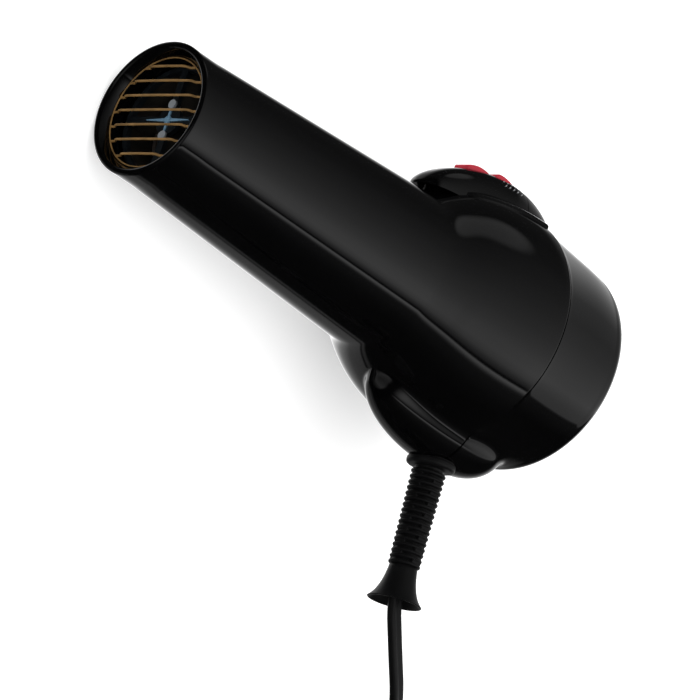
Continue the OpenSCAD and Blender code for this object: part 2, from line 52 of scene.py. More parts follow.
# Sizes that several pieces share, in millimetres
MOUTH_R = MOUNTS["outlet_spigot"]["dims"]["r_mm"]
SPIGOT_MID = 8.25
SPIGOT_END = 14
RIM_R = 2.5
RIM_BORE_R = MOUTH_R - 2 * RIM_R
BARREL_END_R = 34.8
FLARE_S = 144
HOUSING_R = 50.8
PARTING_S = 204.5
REAR_FACE_S = 249.6
OVERALL_S = 250
WALL = 2.4
FILTER_BORE_R = 36.6
ROCKER_W = 8.6
BRACKET_S = 12
RECESS_R = 2.9
RECESS_FLOOR_S = 243

# Barrel coordinates in the row frame
FORWARD = Vector(MOUNTS["outlet_spigot"]["axis"]).normalized()
UP = Vector((0, -1, 0))
SIDE = (-FORWARD).cross(UP)
OUTLET = Vector(MOUNTS["outlet_spigot"]["pos_m"]) + FORWARD * SPIGOT_MID * MM
BARREL = (Matrix.Translation(OUTLET) @ Matrix((UP, SIDE, -FORWARD)).transposed().to_4x4()
          @ Matrix.Scale(MM, 4))


def turn_z(degrees):
    return Matrix.Rotation(math.radians(degrees), 4, "Z")


POSTS = [BARREL @ (turn_z(angle) @ Matrix.Translation((41, 0, 0))) for angle in (45, 135, 225, 315)]


def placed(name, data):
    """A new object in the scene."""
    thing = bpy.data.objects.new(name, data)
    bpy.context.scene.collection.objects.link(thing)
    return thing


# ---- camera ----

CAMERA_LENS = 257.14
CAMERA_AT = (1.46173, 0.56442, 1.26100)
CAMERA_RIGHT = Vector((-0.53665, -0.30009, 0.78864))
CAMERA_UP = Vector((0.40246, -0.91249, -0.07335))


def make_camera():
    """The photograph's view: a long lens, rolled so that the surface's up direction points to the right."""
    data = bpy.data.cameras.new("camera")
    data.sensor_width = 36
    data.lens = CAMERA_LENS
    data.clip_start = 0.1
    data.clip_end = 20
    camera = placed("camera", data)
    turn = Matrix((CAMERA_RIGHT, CAMERA_UP, CAMERA_RIGHT.cross(CAMERA_UP))).transposed().to_4x4()
    camera.matrix_world = Matrix.Translation(CAMERA_AT) @ turn
    bpy.context.scene.camera = camera


make_camera()


# ---- mesh helpers ----

def new_piece(name, points, faces, body="dryer", matrix=BARREL, smooth=35):
    """A mesh object on a body; points are in the matrix's coordinates."""
    mesh = bpy.data.meshes.new(name)
    mesh.from_pydata([tuple(p) for p in points], [], faces)
    mesh.transform(matrix)
    tidy = bmesh.new()
    tidy.from_mesh(mesh)
    bmesh.ops.recalc_face_normals(tidy, faces=tidy.faces)
    tidy.to_mesh(mesh)
    tidy.free()
    piece = placed(name, mesh)
    shade(piece, smooth)
    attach(piece, body)
    return piece


def shade(piece, angle):
    """Smooth shading, with edges sharper than an angle in degrees kept."""
    piece.data.shade_smooth()
    piece.data.set_sharp_from_angle(angle=math.radians(angle))


def apply_modifiers(piece):
    """Bakes a piece's modifiers into its mesh."""
    ready = piece.evaluated_get(bpy.context.evaluated_depsgraph_get())
    mesh = bpy.data.meshes.new_from_object(ready)
    piece.modifiers.clear()
    piece.data = mesh


def grid_faces(rows, columns, close_rows=False, close_columns=True, skip=None):
    """Quads over a grid of rows x columns points, without those that skip(row, column) picks."""
    faces = []
    for i in range(rows if close_rows else rows - 1):
        for k in range(columns if close_columns else columns - 1):
            if skip and skip(i, k):
                continue
            a, b = i * columns, (i + 1) % rows * columns
            c = (k + 1) % columns
            faces.append((a + k, a + c, b + c, b + k))
    return faces


def lathe(name, outline, steps=96, closed=True, swell=None, **facts):
    """An outline of (r, s) points turned about the barrel's axis.

    A closed outline makes a ring, an open one gets flat ends. swell(outline, angles) may change radii."""
    outline = np.array(outline, float)
    angles = np.linspace(0, 2 * math.pi, steps, endpoint=False)
    radius = np.repeat(outline[:, :1], steps, axis=1)
    if swell is not None:
        radius = swell(outline, angles)
    points = np.stack([radius * np.cos(angles), radius * np.sin(angles),
                       np.repeat(outline[:, 1:], steps, axis=1)], axis=-1)
    faces = grid_faces(len(outline), steps, close_rows=closed)
    if not closed:
        faces += [tuple(range(steps)), tuple((len(outline) - 1) * steps + k for k in range(steps))]
    return new_piece(name, points.reshape(-1, 3), faces, **facts)


def arc(centre, radius, start, end, steps):
    """Points of an arc, angles in degrees."""
    turn = np.radians(np.linspace(start, end, steps + 1))
    return [(centre[0] + radius * math.cos(t), centre[1] + radius * math.sin(t)) for t in turn]


def cubic(a, b, c, d, steps):
    """Points of a cubic curve with the control points a, b, c, d."""
    t = np.linspace(0, 1, steps + 1)[:, None]
    k = 1 - t
    a, b, c, d = (np.array(p, float) for p in (a, b, c, d))
    return k ** 3 * a + 3 * k * k * t * b + 3 * k * t * t * c + t ** 3 * d


def tube_points(path, section, across):
    """Rings of a section, (width, thickness) points, along a path.

    across(i, heading) gives the direction of the width at point i."""
    path = np.array(path, float)
    heading = np.gradient(path, axis=0)
    heading /= np.linalg.norm(heading, axis=1)[:, None]
    points = []
    for i, (p, d) in enumerate(zip(path, heading)):
        wide = across(i, d)
        thick = np.cross(d, wide)
        points += [p + w * wide + t * thick for w, t in section]
    return points


def capped_tube(name, path, section, across, **facts):
    """A section drawn along a path, with flat ends."""
    n = len(section)
    faces = grid_faces(len(path), n)
    faces += [tuple(range(n)), tuple((len(path) - 1) * n + k for k in range(n))]
    return new_piece(name, tube_points(path, section, across), faces, **facts)


def joined(name, pieces):
    """One object out of several."""
    mesh = bmesh.new()
    for p in pieces:
        mesh.from_mesh(p.data)
    mesh.to_mesh(pieces[0].data)
    mesh.free()
    for p in pieces[1:]:
        bpy.data.objects.remove(p)
    pieces[0].name = name
    return pieces[0]


def cut(piece, cutters):
    """Takes the cutters' shapes out of a piece."""
    for c in cutters:
        hole = piece.modifiers.new("cut", "BOOLEAN")
        hole.operation = "DIFFERENCE"
        hole.solver = "EXACT"
        hole.object = c
    apply_modifiers(piece)
    for c in cutters:
        bpy.data.objects.remove(c)
    return piece


def block(name, low, high, bevel=0.0, segments=3, **facts):
    """A box with rounded edges, for parts that are blocks on the real object."""
    low, high = np.array(low, float), np.array(high, float)
    corners = [[(low, high)[i][0], (low, high)[j][1], (low, high)[k][2]]
               for i in (0, 1) for j in (0, 1) for k in (0, 1)]
    mesh = bmesh.new()
    for c in corners:
        mesh.verts.new(c)
    mesh.verts.ensure_lookup_table()
    for f in ((0, 1, 3, 2), (4, 6, 7, 5), (0, 4, 5, 1), (2, 3, 7, 6), (0, 2, 6, 4), (1, 5, 7, 3)):
        mesh.faces.new([mesh.verts[i] for i in f])
    if bevel:
        bmesh.ops.bevel(mesh, geom=mesh.edges[:], offset=bevel, segments=segments, profile=0.5,
                        affect="EDGES", clamp_overlap=True)
    points = [v.co.copy() for v in mesh.verts]
    mesh.verts.index_update()
    faces = [tuple(v.index for v in f.verts) for f in mesh.faces]
    mesh.free()
    return new_piece(name, points, faces, **facts)


# ---- the lead: route points as in the frame, in metres ----

LEAD_W = 7.2 * MM
LEAD_T = 3.8 * MM
LEAD_ROUTE = [(-.083, .076, .051), (-.084, .084, .051), (-.087, .093, .0505), (-.093, .102, .050),
              (-.101, .111, .0485), (-.111, .121, .046), (-.121, .131, .0415), (-.130, .142, .035),
              (-.138, .153, .027), (-.144, .162, .0195), (-.147, .170, .0146)]
TAIL_ROUTE = [(-.110, .2237, .0029), (-.101, .2237, .0029), (-.092, .2237, .004), (-.083, .2237, .0075),
              (-.075, .2237, .012), (-.067, .2237, .016), (-.059, .2237, .0184), (-.052, .2237, .019)]
COIL_CENTRE = (-.110, .184)
COIL_INNER = 0.0323
COIL_OUTER = 0.0397
COIL_LIFT = 0.0009
LAYER = 0.0039
POINTS_A_TURN = 36
# The coil's turns in the order in which they are wound: radius and layer
TURNS = [(COIL_OUTER, 3), (COIL_INNER, 3), (COIL_INNER, 2), (COIL_OUTER, 2),
         (COIL_OUTER, 1), (COIL_INNER, 1), (COIL_INNER, 0), (COIL_OUTER, 0)]


def smooth_line(points, step):
    """The points joined by a smooth curve (Catmull-Rom), at about the given step."""
    p = np.array(points, float)
    p = np.vstack([2 * p[0] - p[1], p, 2 * p[-1] - p[-2]])
    line = []
    for a, b, c, d in zip(p, p[1:], p[2:], p[3:]):
        n = max(1, round(np.linalg.norm(c - b) / step))
        for t in np.arange(n) / n:
            line.append(0.5 * (2 * b + (c - a) * t + (2 * a - 5 * b + 4 * c - d) * t * t
                               + (3 * b - a - 3 * c + d) * t ** 3))
    return np.array(line + [p[-2]])


def coil_line():
    """The wound part: turns side by side and in layers, each crossing to the next in a place of its own."""
    end_x, end_y, _ = LEAD_ROUTE[-1]
    start = math.atan2(end_y - COIL_CENTRE[1], end_x - COIL_CENTRE[0]) % (2 * math.pi)
    total = len(TURNS) - 1 + (start - math.pi / 2) / (2 * math.pi)
    crossings, late = [], 0.99
    for k, (a, b) in enumerate(zip(TURNS, TURNS[1:])):
        width = 0.11 if a[0] != b[0] else 0.07
        crossings.append((k + late - width, k + late))
        late -= width
    line = []
    for turn in np.linspace(0, total, round(total * POINTS_A_TURN)):
        done = sum(turn >= end for _, end in crossings)
        radius, layer = TURNS[done]
        if done < len(crossings) and turn > crossings[done][0]:
            begin, end = crossings[done]
            share = 0.5 - 0.5 * math.cos(math.pi * (turn - begin) / (end - begin))
            radius += share * (TURNS[done + 1][0] - radius)
            layer += share * (TURNS[done + 1][1] - layer)
        angle = start - 2 * math.pi * turn
        line.append((COIL_CENTRE[0] + radius * math.cos(angle), COIL_CENTRE[1] + radius * math.sin(angle),
                     COIL_LIFT + LEAD_T / 2 + LAYER * layer))
    return np.array(line)


def twin_section(width, thickness):
    """Section of a flat twin lead: two round cores joined by a shallow web."""
    r = thickness / 2
    off = width / 2 - r
    turn = np.radians(np.linspace(-128, 128, 11))
    right = [(off + r * math.cos(t), r * math.sin(t)) for t in turn]
    return right + [(-w, -t) for w, t in right]


def level(i, heading):
    """The width's direction where a flat lead lies flat: level, and square to its run."""
    side = np.array([-heading[1], heading[0], 0.0])
    return side / np.linalg.norm(side)


def make_lead():
    run = smooth_line(LEAD_ROUTE, 0.004)
    tail = smooth_line(TAIL_ROUTE, 0.004)
    line = np.vstack([run[:-1], coil_line()[:-1], tail])
    lead = capped_tube("mains_lead", line, twin_section(LEAD_W, LEAD_T), level, matrix=Matrix.Identity(4),
                       smooth=70)
    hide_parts("lead_run", "lead_coil", "lead_tail")
    return lead, line


lead, lead_line = make_lead()


# ---- materials ----

def link(tree, source, target):
    tree.links.new(source, target)


def material(name, colour, rough, metallic=0.0, spread=0.15, grain=900, bump=0.05, rough_spread=0.05,
             coat=0.0, specular=0.5, vein=0.0):
    """Procedural material: a coarse noise varies colour and roughness, a fine one is the bump's grain."""
    m = bpy.data.materials.new(name)
    m.use_nodes = True
    tree = m.node_tree
    shader = tree.nodes["Principled BSDF"]
    shader.inputs["Metallic"].default_value = metallic
    shader.inputs["Specular IOR Level"].default_value = specular
    shader.inputs["Coat Weight"].default_value = coat
    shader.inputs["Coat Roughness"].default_value = 0.05
    place = tree.nodes.new("ShaderNodeTexCoord")
    coarse = tree.nodes.new("ShaderNodeTexNoise")
    coarse.inputs["Scale"].default_value = grain / 12
    coarse.inputs["Detail"].default_value = 4
    coarse.inputs["Distortion"].default_value = vein
    fine = tree.nodes.new("ShaderNodeTexNoise")
    fine.inputs["Scale"].default_value = grain
    fine.inputs["Detail"].default_value = 3
    tint = tree.nodes.new("ShaderNodeValToRGB")
    low, high = tint.color_ramp.elements
    low.position, high.position = 0.3, 0.7
    low.color = [c * (1 - spread) for c in colour] + [1]
    high.color = [min(1, c * (1 + spread)) for c in colour] + [1]
    gloss = tree.nodes.new("ShaderNodeMapRange")
    gloss.inputs["To Min"].default_value = max(0.01, rough - rough_spread)
    gloss.inputs["To Max"].default_value = rough + rough_spread
    relief = tree.nodes.new("ShaderNodeBump")
    relief.inputs["Strength"].default_value = bump
    relief.inputs["Distance"].default_value = 0.0004
    for texture in (coarse, fine):
        link(tree, place.outputs["Object"], texture.inputs["Vector"])
    link(tree, coarse.outputs["Fac"], tint.inputs["Fac"])
    link(tree, tint.outputs["Color"], shader.inputs["Base Color"])
    link(tree, coarse.outputs["Fac"], gloss.inputs["Value"])
    link(tree, gloss.outputs["Result"], shader.inputs["Roughness"])
    link(tree, fine.outputs["Fac"], relief.inputs["Height"])
    link(tree, relief.outputs["Normal"], shader.inputs["Normal"])
    return m


MATERIALS = {
    "gloss_housing": material("gloss_housing", (.0007, .0007, .0008), .055, grain=500, bump=.006,
                              rough_spread=.015),
    "red_plastic": material("red_plastic", (.44, .012, .030), .33, grain=1800, bump=.08, coat=.15),
    "gold_wire": material("gold_wire", (.26, .150, .052), .36, metallic=.5, spread=.3, grain=2500, bump=.12),
    "dull_metal": material("dull_metal", (.04, .05, .058), .34, metallic=.9, spread=.2, grain=2200, bump=.1),
    "bright_metal": material("bright_metal", (.66, .67, .70), .22, metallic=1, spread=.06, grain=2600,
                             bump=.05),
    "mica": material("mica", (.022, .019, .015), .55, spread=.4, grain=700, bump=.2, vein=1.5),
    "resistance_wire": material("resistance_wire", (.20, .17, .15), .42, metallic=.9, spread=.3, bump=.1),
    "brass": material("brass", (.70, .50, .20), .26, metallic=1, spread=.1, grain=1500, bump=.05),
    "matte_black": material("matte_black", (.016, .016, .018), .5, spread=.2, grain=2600, bump=.35),
    "black_rubber": material("black_rubber", (.0018, .0018, .002), .46, spread=.25, grain=1500, bump=.2,
                             specular=.22),
    "lead_jacket": material("lead_jacket", (.0018, .0018, .002), .4, spread=.25, grain=1300, bump=.15,
                            specular=.22),
    "tie_strap": material("tie_strap", (.012, .012, .013), .85, spread=.5, grain=3500, bump=1.0),
    "copper": material("copper", (.48, .20, .09), .32, metallic=.9, spread=.15, bump=.1),
    "ferrite": material("ferrite", (.05, .05, .055), .6, spread=.3, bump=.3),
    "brown_wire": material("brown_wire", (.14, .055, .025), .4, bump=.1),
    "blue_wire": material("blue_wire", (.03, .09, .33), .4, bump=.1),
    "blued_steel": material("blued_steel", (.13, .24, .34), .3, metallic=.3, spread=.15, bump=.05),
    "printed_marks": material("printed_marks", (.30, .30, .31), .5, spread=.1, bump=.1),
    "circuit_board": material("circuit_board", (.02, .12, .05), .35, spread=.3, bump=.1, coat=.3),
}
SLOT_OF = {row["node"]: row["material_slot"] for row in frame["record"]["subparts"]}


def paint(piece, look):
    piece.data.materials.clear()
    piece.data.materials.append(look)


def finish_piece(piece, slot, *nodes, look=None):
    """Paints a piece with the material of its slot, or of the given look, and hides the CAD nodes that it
    stands for.
    """
    paint(piece, MATERIALS[look or slot])
    if nodes:
        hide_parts(*nodes)
    return piece


finish_piece(lead, "lead_jacket")
for node_name, node_object in frame["nodes"].items():
    paint(node_object, MATERIALS[SLOT_OF[node_name]])
paint(frame["nodes"]["bracket_rivets"],
      material("plated_rivet", (.26, .28, .30), .3, metallic=.4, spread=.05, bump=.03))


# ---- housings ----

# The swelling under the lead: its axis, its two tips and the width of the blend round it
SPINDLE_AXIS_U = -42
SPINDLE_TIPS = (158, 240)
BLEND = 3.0
# The raised pad under the switch pod
PAD_RISE = 1.4
PAD_ROUND = 0.5
PAD_MIDDLE = 204.5
PAD_HALF_W = 25
PAD_HALF_LEN = 50
# The parting line: half its gap, and its depth
SEAM = 0.42
GROOVE = 1.4
HOUSING_STEPS = 600
HALVINGS = 34
RIM_LIP_R = 1.5
RIM_THROAT_S = 5.2


def spindle_radius(s):
    """Radius of the swelling along the barrel; negative past its two tips."""
    front, back = SPINDLE_TIPS
    line = np.vstack([cubic((0, front), (12, 162), (18.5, 186), (18.6, 204.5), 40),
                      cubic((18.6, 204.5), (18.5, 222), (17, 238), (0, back), 40)])
    inside = np.interp(s, line[:, 1], line[:, 0])
    return np.where(s < front, 0.8 * (s - front), np.where(s > back, back - s, inside))


def pad_half_width(s):
    """Half width of the raised pad under the switch pod; negative past its pointed ends."""
    r = (PAD_HALF_W ** 2 + PAD_HALF_LEN ** 2) / (2 * PAD_HALF_W)
    off = np.clip(np.abs(s - PAD_MIDDLE), 0, r)
    return np.sqrt(r * r - off * off) - (r - PAD_HALF_W)


def soft_min(a, b, k):
    """The smaller of two, rounded off where they differ by less than k."""
    h = np.clip(0.5 + 0.5 * (b - a) / k, 0, 1)
    return b + (a - b) * h - k * h * (1 - h)


def swollen(outline, angles, outer, pad):
    """Radius of each outline point at each angle, found by halving.

    The swelling and, if asked for, the pad are blended into the first rows, those of the outside."""
    r, s = outline[:, :1], outline[:, 1:]
    low = np.repeat(r - 2, len(angles), axis=1)
    high = np.full((len(r), len(angles)), 80.0)
    for _ in range(HALVINGS):
        rho = (low + high) / 2
        u, l = rho * np.cos(angles), rho * np.sin(angles)
        gap = rho - r
        spindle = np.hypot(u - SPINDLE_AXIS_U, l) - spindle_radius(s)
        gap = soft_min(gap, spindle, BLEND)
        if pad:
            edge = np.abs(l) - pad_half_width(s)
            raised = -soft_min(-(rho - r - PAD_RISE), -edge, PAD_ROUND)
            gap = np.where(u > 0, soft_min(gap, raised, PAD_ROUND), gap)
        high = np.where(gap > 0, rho, high)
        low = np.where(gap > 0, low, rho)
    rows = np.zeros(len(r), bool)
    rows[:outer] = True
    return np.where(rows[:, None], (low + high) / 2, r)


def spaced_line(points, step):
    """The line again, with points about a step apart."""
    p = np.array(points, float)
    along = np.concatenate([[0], np.cumsum(np.linalg.norm(np.diff(p, axis=0), axis=1))])
    at = np.linspace(0, along[-1], max(2, round(along[-1] / step) + 1))
    return [(np.interp(t, along, p[:, 0]), np.interp(t, along, p[:, 1])) for t in at]


def flare_line(g, steps):
    """The flare's outline, g inside its skin."""
    return cubic((BARREL_END_R - g, FLARE_S), (35.6 - g, 160), (HOUSING_R - .2 - g, 166),
                 (HOUSING_R - g, PARTING_S), steps)


def make_front_housing():
    """Barrel, flare and front half of the fan housing, hollow, with a rounded rim."""
    barrel = [(MOUTH_R, RIM_R), (MOUTH_R, SPIGOT_END)]
    outer = spaced_line(barrel, 2.5) + spaced_line([barrel[-1], (BARREL_END_R, FLARE_S)], 4)[1:]
    flare = [tuple(p) for p in flare_line(0, 100)[1:] if p[1] < PARTING_S - 0.8]
    outer += flare + [(HOUSING_R, PARTING_S - .6), (HOUSING_R - .12, PARTING_S - SEAM)]
    back = [(HOUSING_R - WALL, PARTING_S - SEAM)]
    inner = [tuple(p) for p in flare_line(WALL, 30)[::-1][1:]] + [(MOUTH_R - WALL, SPIGOT_END)]
    bore = [(MOUTH_R - WALL, 10), (RIM_BORE_R, 10), (RIM_BORE_R, RIM_THROAT_S), (RIM_BORE_R + .25, 4.6)]
    rim = arc((MOUTH_R - RIM_LIP_R, RIM_R - .6), RIM_LIP_R, -150, 0, 14)
    outline = outer + back + inner + bore + rim
    piece = lathe("front_housing_shell", outline, HOUSING_STEPS,
                  swell=lambda o, a: swollen(o, a, len(outer), True), smooth=40)
    return finish_piece(piece, "gloss_housing", "front_housing")


def rear_line(steps):
    """The outline of the rear housing's side."""
    side = cubic((HOUSING_R - .5, PARTING_S), (48.6, 219), (48.2, 232), (47, 241.5), steps)
    return [tuple(p) for p in side]


def make_rear_housing():
    """Back half of the fan housing, with the filter's opening, the screws' recesses and the pod's tail."""
    side = [p for p in rear_line(34) if p[1] > PARTING_S + .8]
    round_r = 7.5
    corner = arc((39.5, REAR_FACE_S - round_r), round_r, 3, 90, 14)
    outer = [(HOUSING_R - .65, PARTING_S + SEAM), (HOUSING_R - .5, PARTING_S + .6)] + side + corner
    land = [(FILTER_BORE_R + .4, REAR_FACE_S), (FILTER_BORE_R, REAR_FACE_S - .4), (FILTER_BORE_R, 238),
            (FILTER_BORE_R + WALL, 238), (FILTER_BORE_R + WALL, REAR_FACE_S - WALL - 3)]
    inner = [(r - WALL, s) for r, s in rear_line(16)[::-1][1:-1]]
    tongue = [(HOUSING_R - WALL - .5, PARTING_S + 3), (HOUSING_R - WALL - .2, PARTING_S - 3),
              (HOUSING_R - WALL - 2, PARTING_S - 3), (HOUSING_R - WALL - 2.2, PARTING_S + 4)]
    step = [(HOUSING_R - WALL - .1, PARTING_S - SEAM + .05), (HOUSING_R - GROOVE, PARTING_S - SEAM + .05),
            (HOUSING_R - GROOVE, PARTING_S + SEAM)]
    outline = outer + land + inner[:-1] + tongue[::-1] + step
    shell = lathe("rear_housing_shell", outline, HOUSING_STEPS,
                  swell=lambda o, a: swollen(o, a, len(outer), False), smooth=40)
    hole = [(.01, RECESS_FLOOR_S), (RECESS_R, RECESS_FLOOR_S), (RECESS_R, 252), (.01, 252)]
    cut(shell, [lathe("recess", hole, 40, matrix=post) for post in POSTS])
    shade(shell, 40)
    return finish_piece(joined("rear_housing_shell", [shell, make_pod("pod_tail", POD_TAIL)]),
                        "gloss_housing", "rear_housing")


# ---- switch pod ----

POD_BASE = 40
POD_HALF_W = 12.5
POD_TIP_S = 149
POD_NOSE = 24
POD_TAIL_S = 228.5
# Each rocker's pin (u, s); the openings follow from them
SPEED_AT = (54.2, 178)
HEAT_AT = (55.8, 194.5)
SLOT_HALF_W = ROCKER_W / 2 + .35
SPEED_SLOT = (SPEED_AT[1] - 8.1, SPEED_AT[1] + 8.1)
HEAT_SLOT = (HEAT_AT[1] - 7.6, HEAT_AT[1] + 7.6)
SLOT_FLOOR = 50
SLOT_COLUMNS = 11
POD_FRONT = {"rows": (POD_TIP_S + .02, PARTING_S - .15), "slots": True}
POD_TAIL = {"rows": (PARTING_S + .2, POD_TAIL_S), "slots": False}


def pod_top(s):
    """Height of the pod's ridge over the barrel's axis."""
    line = np.vstack([cubic((2.4, POD_TIP_S), (14, 156), (21.5, 176), (23.4, 197), 40),
                      cubic((23.4, 197), (23.6, 209), (22.4, 221), (11, POD_TAIL_S), 30)])
    return 38 + np.interp(s, line[:, 1], line[:, 0])


def pod_half_width(s):
    """Half width of the pod's plan: a rounded nose, nearly parallel sides and a tapering tail."""
    into_nose = max(0.0, (POD_TIP_S + POD_NOSE - s) / POD_NOSE)
    nose = math.sqrt(max(0.0, 1 - into_nose ** 2))
    tail = 1 - 0.22 * max(0.0, (s - 196) / 32) ** 2
    return max(0.3, POD_HALF_W * nose ** 0.8 * tail)


def pod_height(s, l):
    """Height of the pod's skin: a soft whale-backed section."""
    share = min(1.0, abs(l) / pod_half_width(s))
    return POD_BASE + (pod_top(s) - POD_BASE) * max(0.0, 1 - share ** 2.7) ** 0.42


def pod_columns(s):
    """Places across the pod: steady shares near the nose, then lines that follow the rocker openings."""
    half = pod_half_width(s)
    shares = np.sin(np.linspace(-1, 1, 37) * math.pi / 2)
    edge = SLOT_HALF_W
    side = edge + .5 + (max(half, edge + 1.5) - edge - .5) * np.sin(np.linspace(0, 1, 13) * math.pi / 2)
    middle = np.linspace(-edge, edge, SLOT_COLUMNS)
    fixed = np.concatenate([-side[::-1], middle, side])
    t = np.clip((s - 157) / 11, 0, 1)
    t = t * t * (3 - 2 * t)
    return shares * half * (1 - t) + fixed * t


def pod_rows(first, last, slots):
    """Places along the pod, closer together at its tip, with lines at the ends of the openings."""
    rows = list(first + (last - first) * np.linspace(0, 1, 60) ** 1.25)
    if slots:
        lines = [*SPEED_SLOT, *HEAT_SLOT]
        rows = [r for r in rows if all(abs(r - x) > .55 for x in lines)]
        rows += lines + [SPEED_SLOT[0] - .5, HEAT_SLOT[1] + .5]
    return sorted(rows)


def make_pod(name, kind):
    """Closed pod: skin, underside and, on the front piece, two openings for the rockers."""
    rows = pod_rows(*kind["rows"], kind["slots"])
    grid = np.array([[(pod_height(s, l), l, s) for l in pod_columns(s)] for s in rows])
    columns = grid.shape[1]
    first = (columns - SLOT_COLUMNS) // 2
    last = first + SLOT_COLUMNS - 1

    def in_slot(i, k):
        middle = (rows[i] + rows[i + 1]) / 2
        inside = any(a < middle < b for a, b in (SPEED_SLOT, HEAT_SLOT))
        return kind["slots"] and inside and first <= k < last

    skin = [tuple(p) for p in grid.reshape(-1, 3)]
    under = [(POD_BASE - .02 - .8 * (1 - min(1, abs(p[1]) / 12) ** 2), p[1], p[2]) for p in skin]
    count = len(skin)
    faces = grid_faces(len(rows), columns, close_columns=False, skip=in_slot)
    faces += [tuple(count + v for v in f) for f in grid_faces(len(rows), columns, close_columns=False)]
    border = list(range(columns))
    border += [i * columns + columns - 1 for i in range(1, len(rows))]
    border += [(len(rows) - 1) * columns + k for k in range(columns - 2, -1, -1)]
    border += [i * columns for i in range(len(rows) - 2, 0, -1)]
    for a, b in zip(border, border[1:] + border[:1]):
        faces.append((a, b, count + b, count + a))
    points = skin + under
    if kind["slots"]:
        for low, high in (SPEED_SLOT, HEAT_SLOT):
            i0, i1 = rows.index(low), rows.index(high)
            loop = [i0 * columns + k for k in range(first, last + 1)]
            loop += [i * columns + last for i in range(i0 + 1, i1 + 1)]
            loop += [i1 * columns + k for k in range(last - 1, first - 1, -1)]
            loop += [i * columns + first for i in range(i1 - 1, i0, -1)]
            sunk = len(points)
            points += [(SLOT_FLOOR, points[v][1], points[v][2]) for v in loop]
            for n, (a, b) in enumerate(zip(loop, loop[1:] + loop[:1])):
                faces.append((a, b, sunk + (n + 1) % len(loop), sunk + n))
            faces.append(tuple(range(sunk, sunk + len(loop))))
    return new_piece(name, points, faces, smooth=38)


def make_switch_pod():
    return finish_piece(make_pod("switch_pod_cover", POD_FRONT), "gloss_housing", "switch_pod",
                        "switch_frame")


def make_rocker(name, at, length, crown_h, tilt, body, node):
    """A rocker cap: a shallow arch with rounded edges, tilted about its pin."""
    crown_r = 20
    z = np.linspace(-length / 2, length / 2, 15)
    top = [(crown_h - crown_r + math.sqrt(crown_r ** 2 - v * v), v) for v in z]
    outline = top + [(1.6, length / 2), (1.6, -length / 2)]
    n, half = len(outline), ROCKER_W / 2
    points = [(x, y, s) for y in (-half, half) for x, s in outline]
    faces = [tuple(range(n)), tuple(range(2 * n - 1, n - 1, -1))]
    faces += [(k, (k + 1) % n, n + (k + 1) % n, n + k) for k in range(n)]
    place = Matrix.Translation((at[0], 0, at[1])) @ Matrix.Rotation(math.radians(tilt), 4, "Y")
    piece = new_piece(name, points, faces, body=body, matrix=BARREL @ place)
    edge = piece.modifiers.new("edge", "BEVEL")
    edge.width = 0.75 * MM
    edge.segments = 4
    edge.limit_method = "ANGLE"
    edge.angle_limit = math.radians(30)
    apply_modifiers(piece)
    shade(piece, 50)
    return finish_piece(piece, "red_plastic", node)


def make_marks():
    """Two rows of plain dashes on the pod's side, in place of printed settings."""
    pieces = []
    for l, length in ((7.0, .8), (8.9, 1.3)):
        for k in range(5):
            s = HEAT_AT[1] - 5 + 2.6 * k
            lean = math.atan2(pod_height(s, l - .3) - pod_height(s, l + .3), .6)
            place = Matrix.Translation((pod_height(s, l), l, s)) @ Matrix.Rotation(-lean, 4, "Z")
            pieces.append(block("mark", (-.1, -length / 2, -.28), (.08, length / 2, .28), .06, 2,
                                matrix=BARREL @ place))
    return finish_piece(joined("switch_marks", pieces), "dull_metal", look="printed_marks")


# ---- outlet ----

WIRE_COUNT = 7
WIRE_PITCH = 6.2
WIRE_SECTION = [(.52 * math.cos(t), .42 * math.sin(t))
                for t in np.linspace(0, 2 * math.pi, 12, endpoint=False)]


def make_outlet_wires():
    """Wires across the outlet, each with a raised middle and two feet that bend down to the ring."""
    pieces = []
    for k in range(WIRE_COUNT):
        u = (k - WIRE_COUNT // 2) * WIRE_PITCH
        reach = math.sqrt((RIM_BORE_R - .5) ** 2 - u * u)
        step = min(4, reach * .3)
        half = [(reach - step * 1.3, 2.9), (reach - step, 3.2), (reach - step * .75, 4.5), (reach, 4.7)]
        ends = [(u, -l, s) for l, s in half[::-1]] + [(u, l, s) for l, s in half]
        line = smooth_line(ends, 1.2)
        line[:, 2] -= 0.25 * np.cos(line[:, 1] / reach * math.pi / 2) ** 2
        pieces.append(capped_tube("wire", line, WIRE_SECTION, lambda i, d: np.array([1.0, 0, 0]), smooth=80))
    return finish_piece(joined("outlet_wire_set", pieces), "gold_wire", "outlet_wires")


def make_hub_star():
    """Pressed star on the bracket's hub: four thin pointed arms, the two along the wires the longer."""
    pieces = []
    for turn, reach in ((0, 7), (90, 11.5), (180, 7), (270, 11.5)):
        outline = [(0, -.75), (reach, -.16), (reach, .16), (0, .75)]
        points = [(x, y, BRACKET_S - lift) for lift in (-.05, .55) for x, y in outline]
        faces = [(0, 1, 2, 3), (4, 5, 6, 7)] + [(k, (k + 1) % 4, (k + 1) % 4 + 4, k + 4) for k in range(4)]
        pieces.append(new_piece("arm", points, faces, matrix=BARREL @ turn_z(turn)))
    cap = [(.01, BRACKET_S + .05), (1.7, BRACKET_S + .05)] + arc((.9, BRACKET_S - .3), .8, 0, -90, 4)
    pieces.append(lathe("cap", cap + [(.01, BRACKET_S - 1.1)], 32, closed=False))
    return finish_piece(joined("hub_star", pieces), "dull_metal", look="blued_steel")


def make_outlet_ring():
    """The ring that the wires' feet stand on."""
    ring = arc((RIM_BORE_R - .3, RIM_THROAT_S - .5), .3, 0, 345, 10)
    return finish_piece(lathe("outlet_ring", ring, 128, smooth=80), "gold_wire", "grille_ring")


# ---- strain relief ----

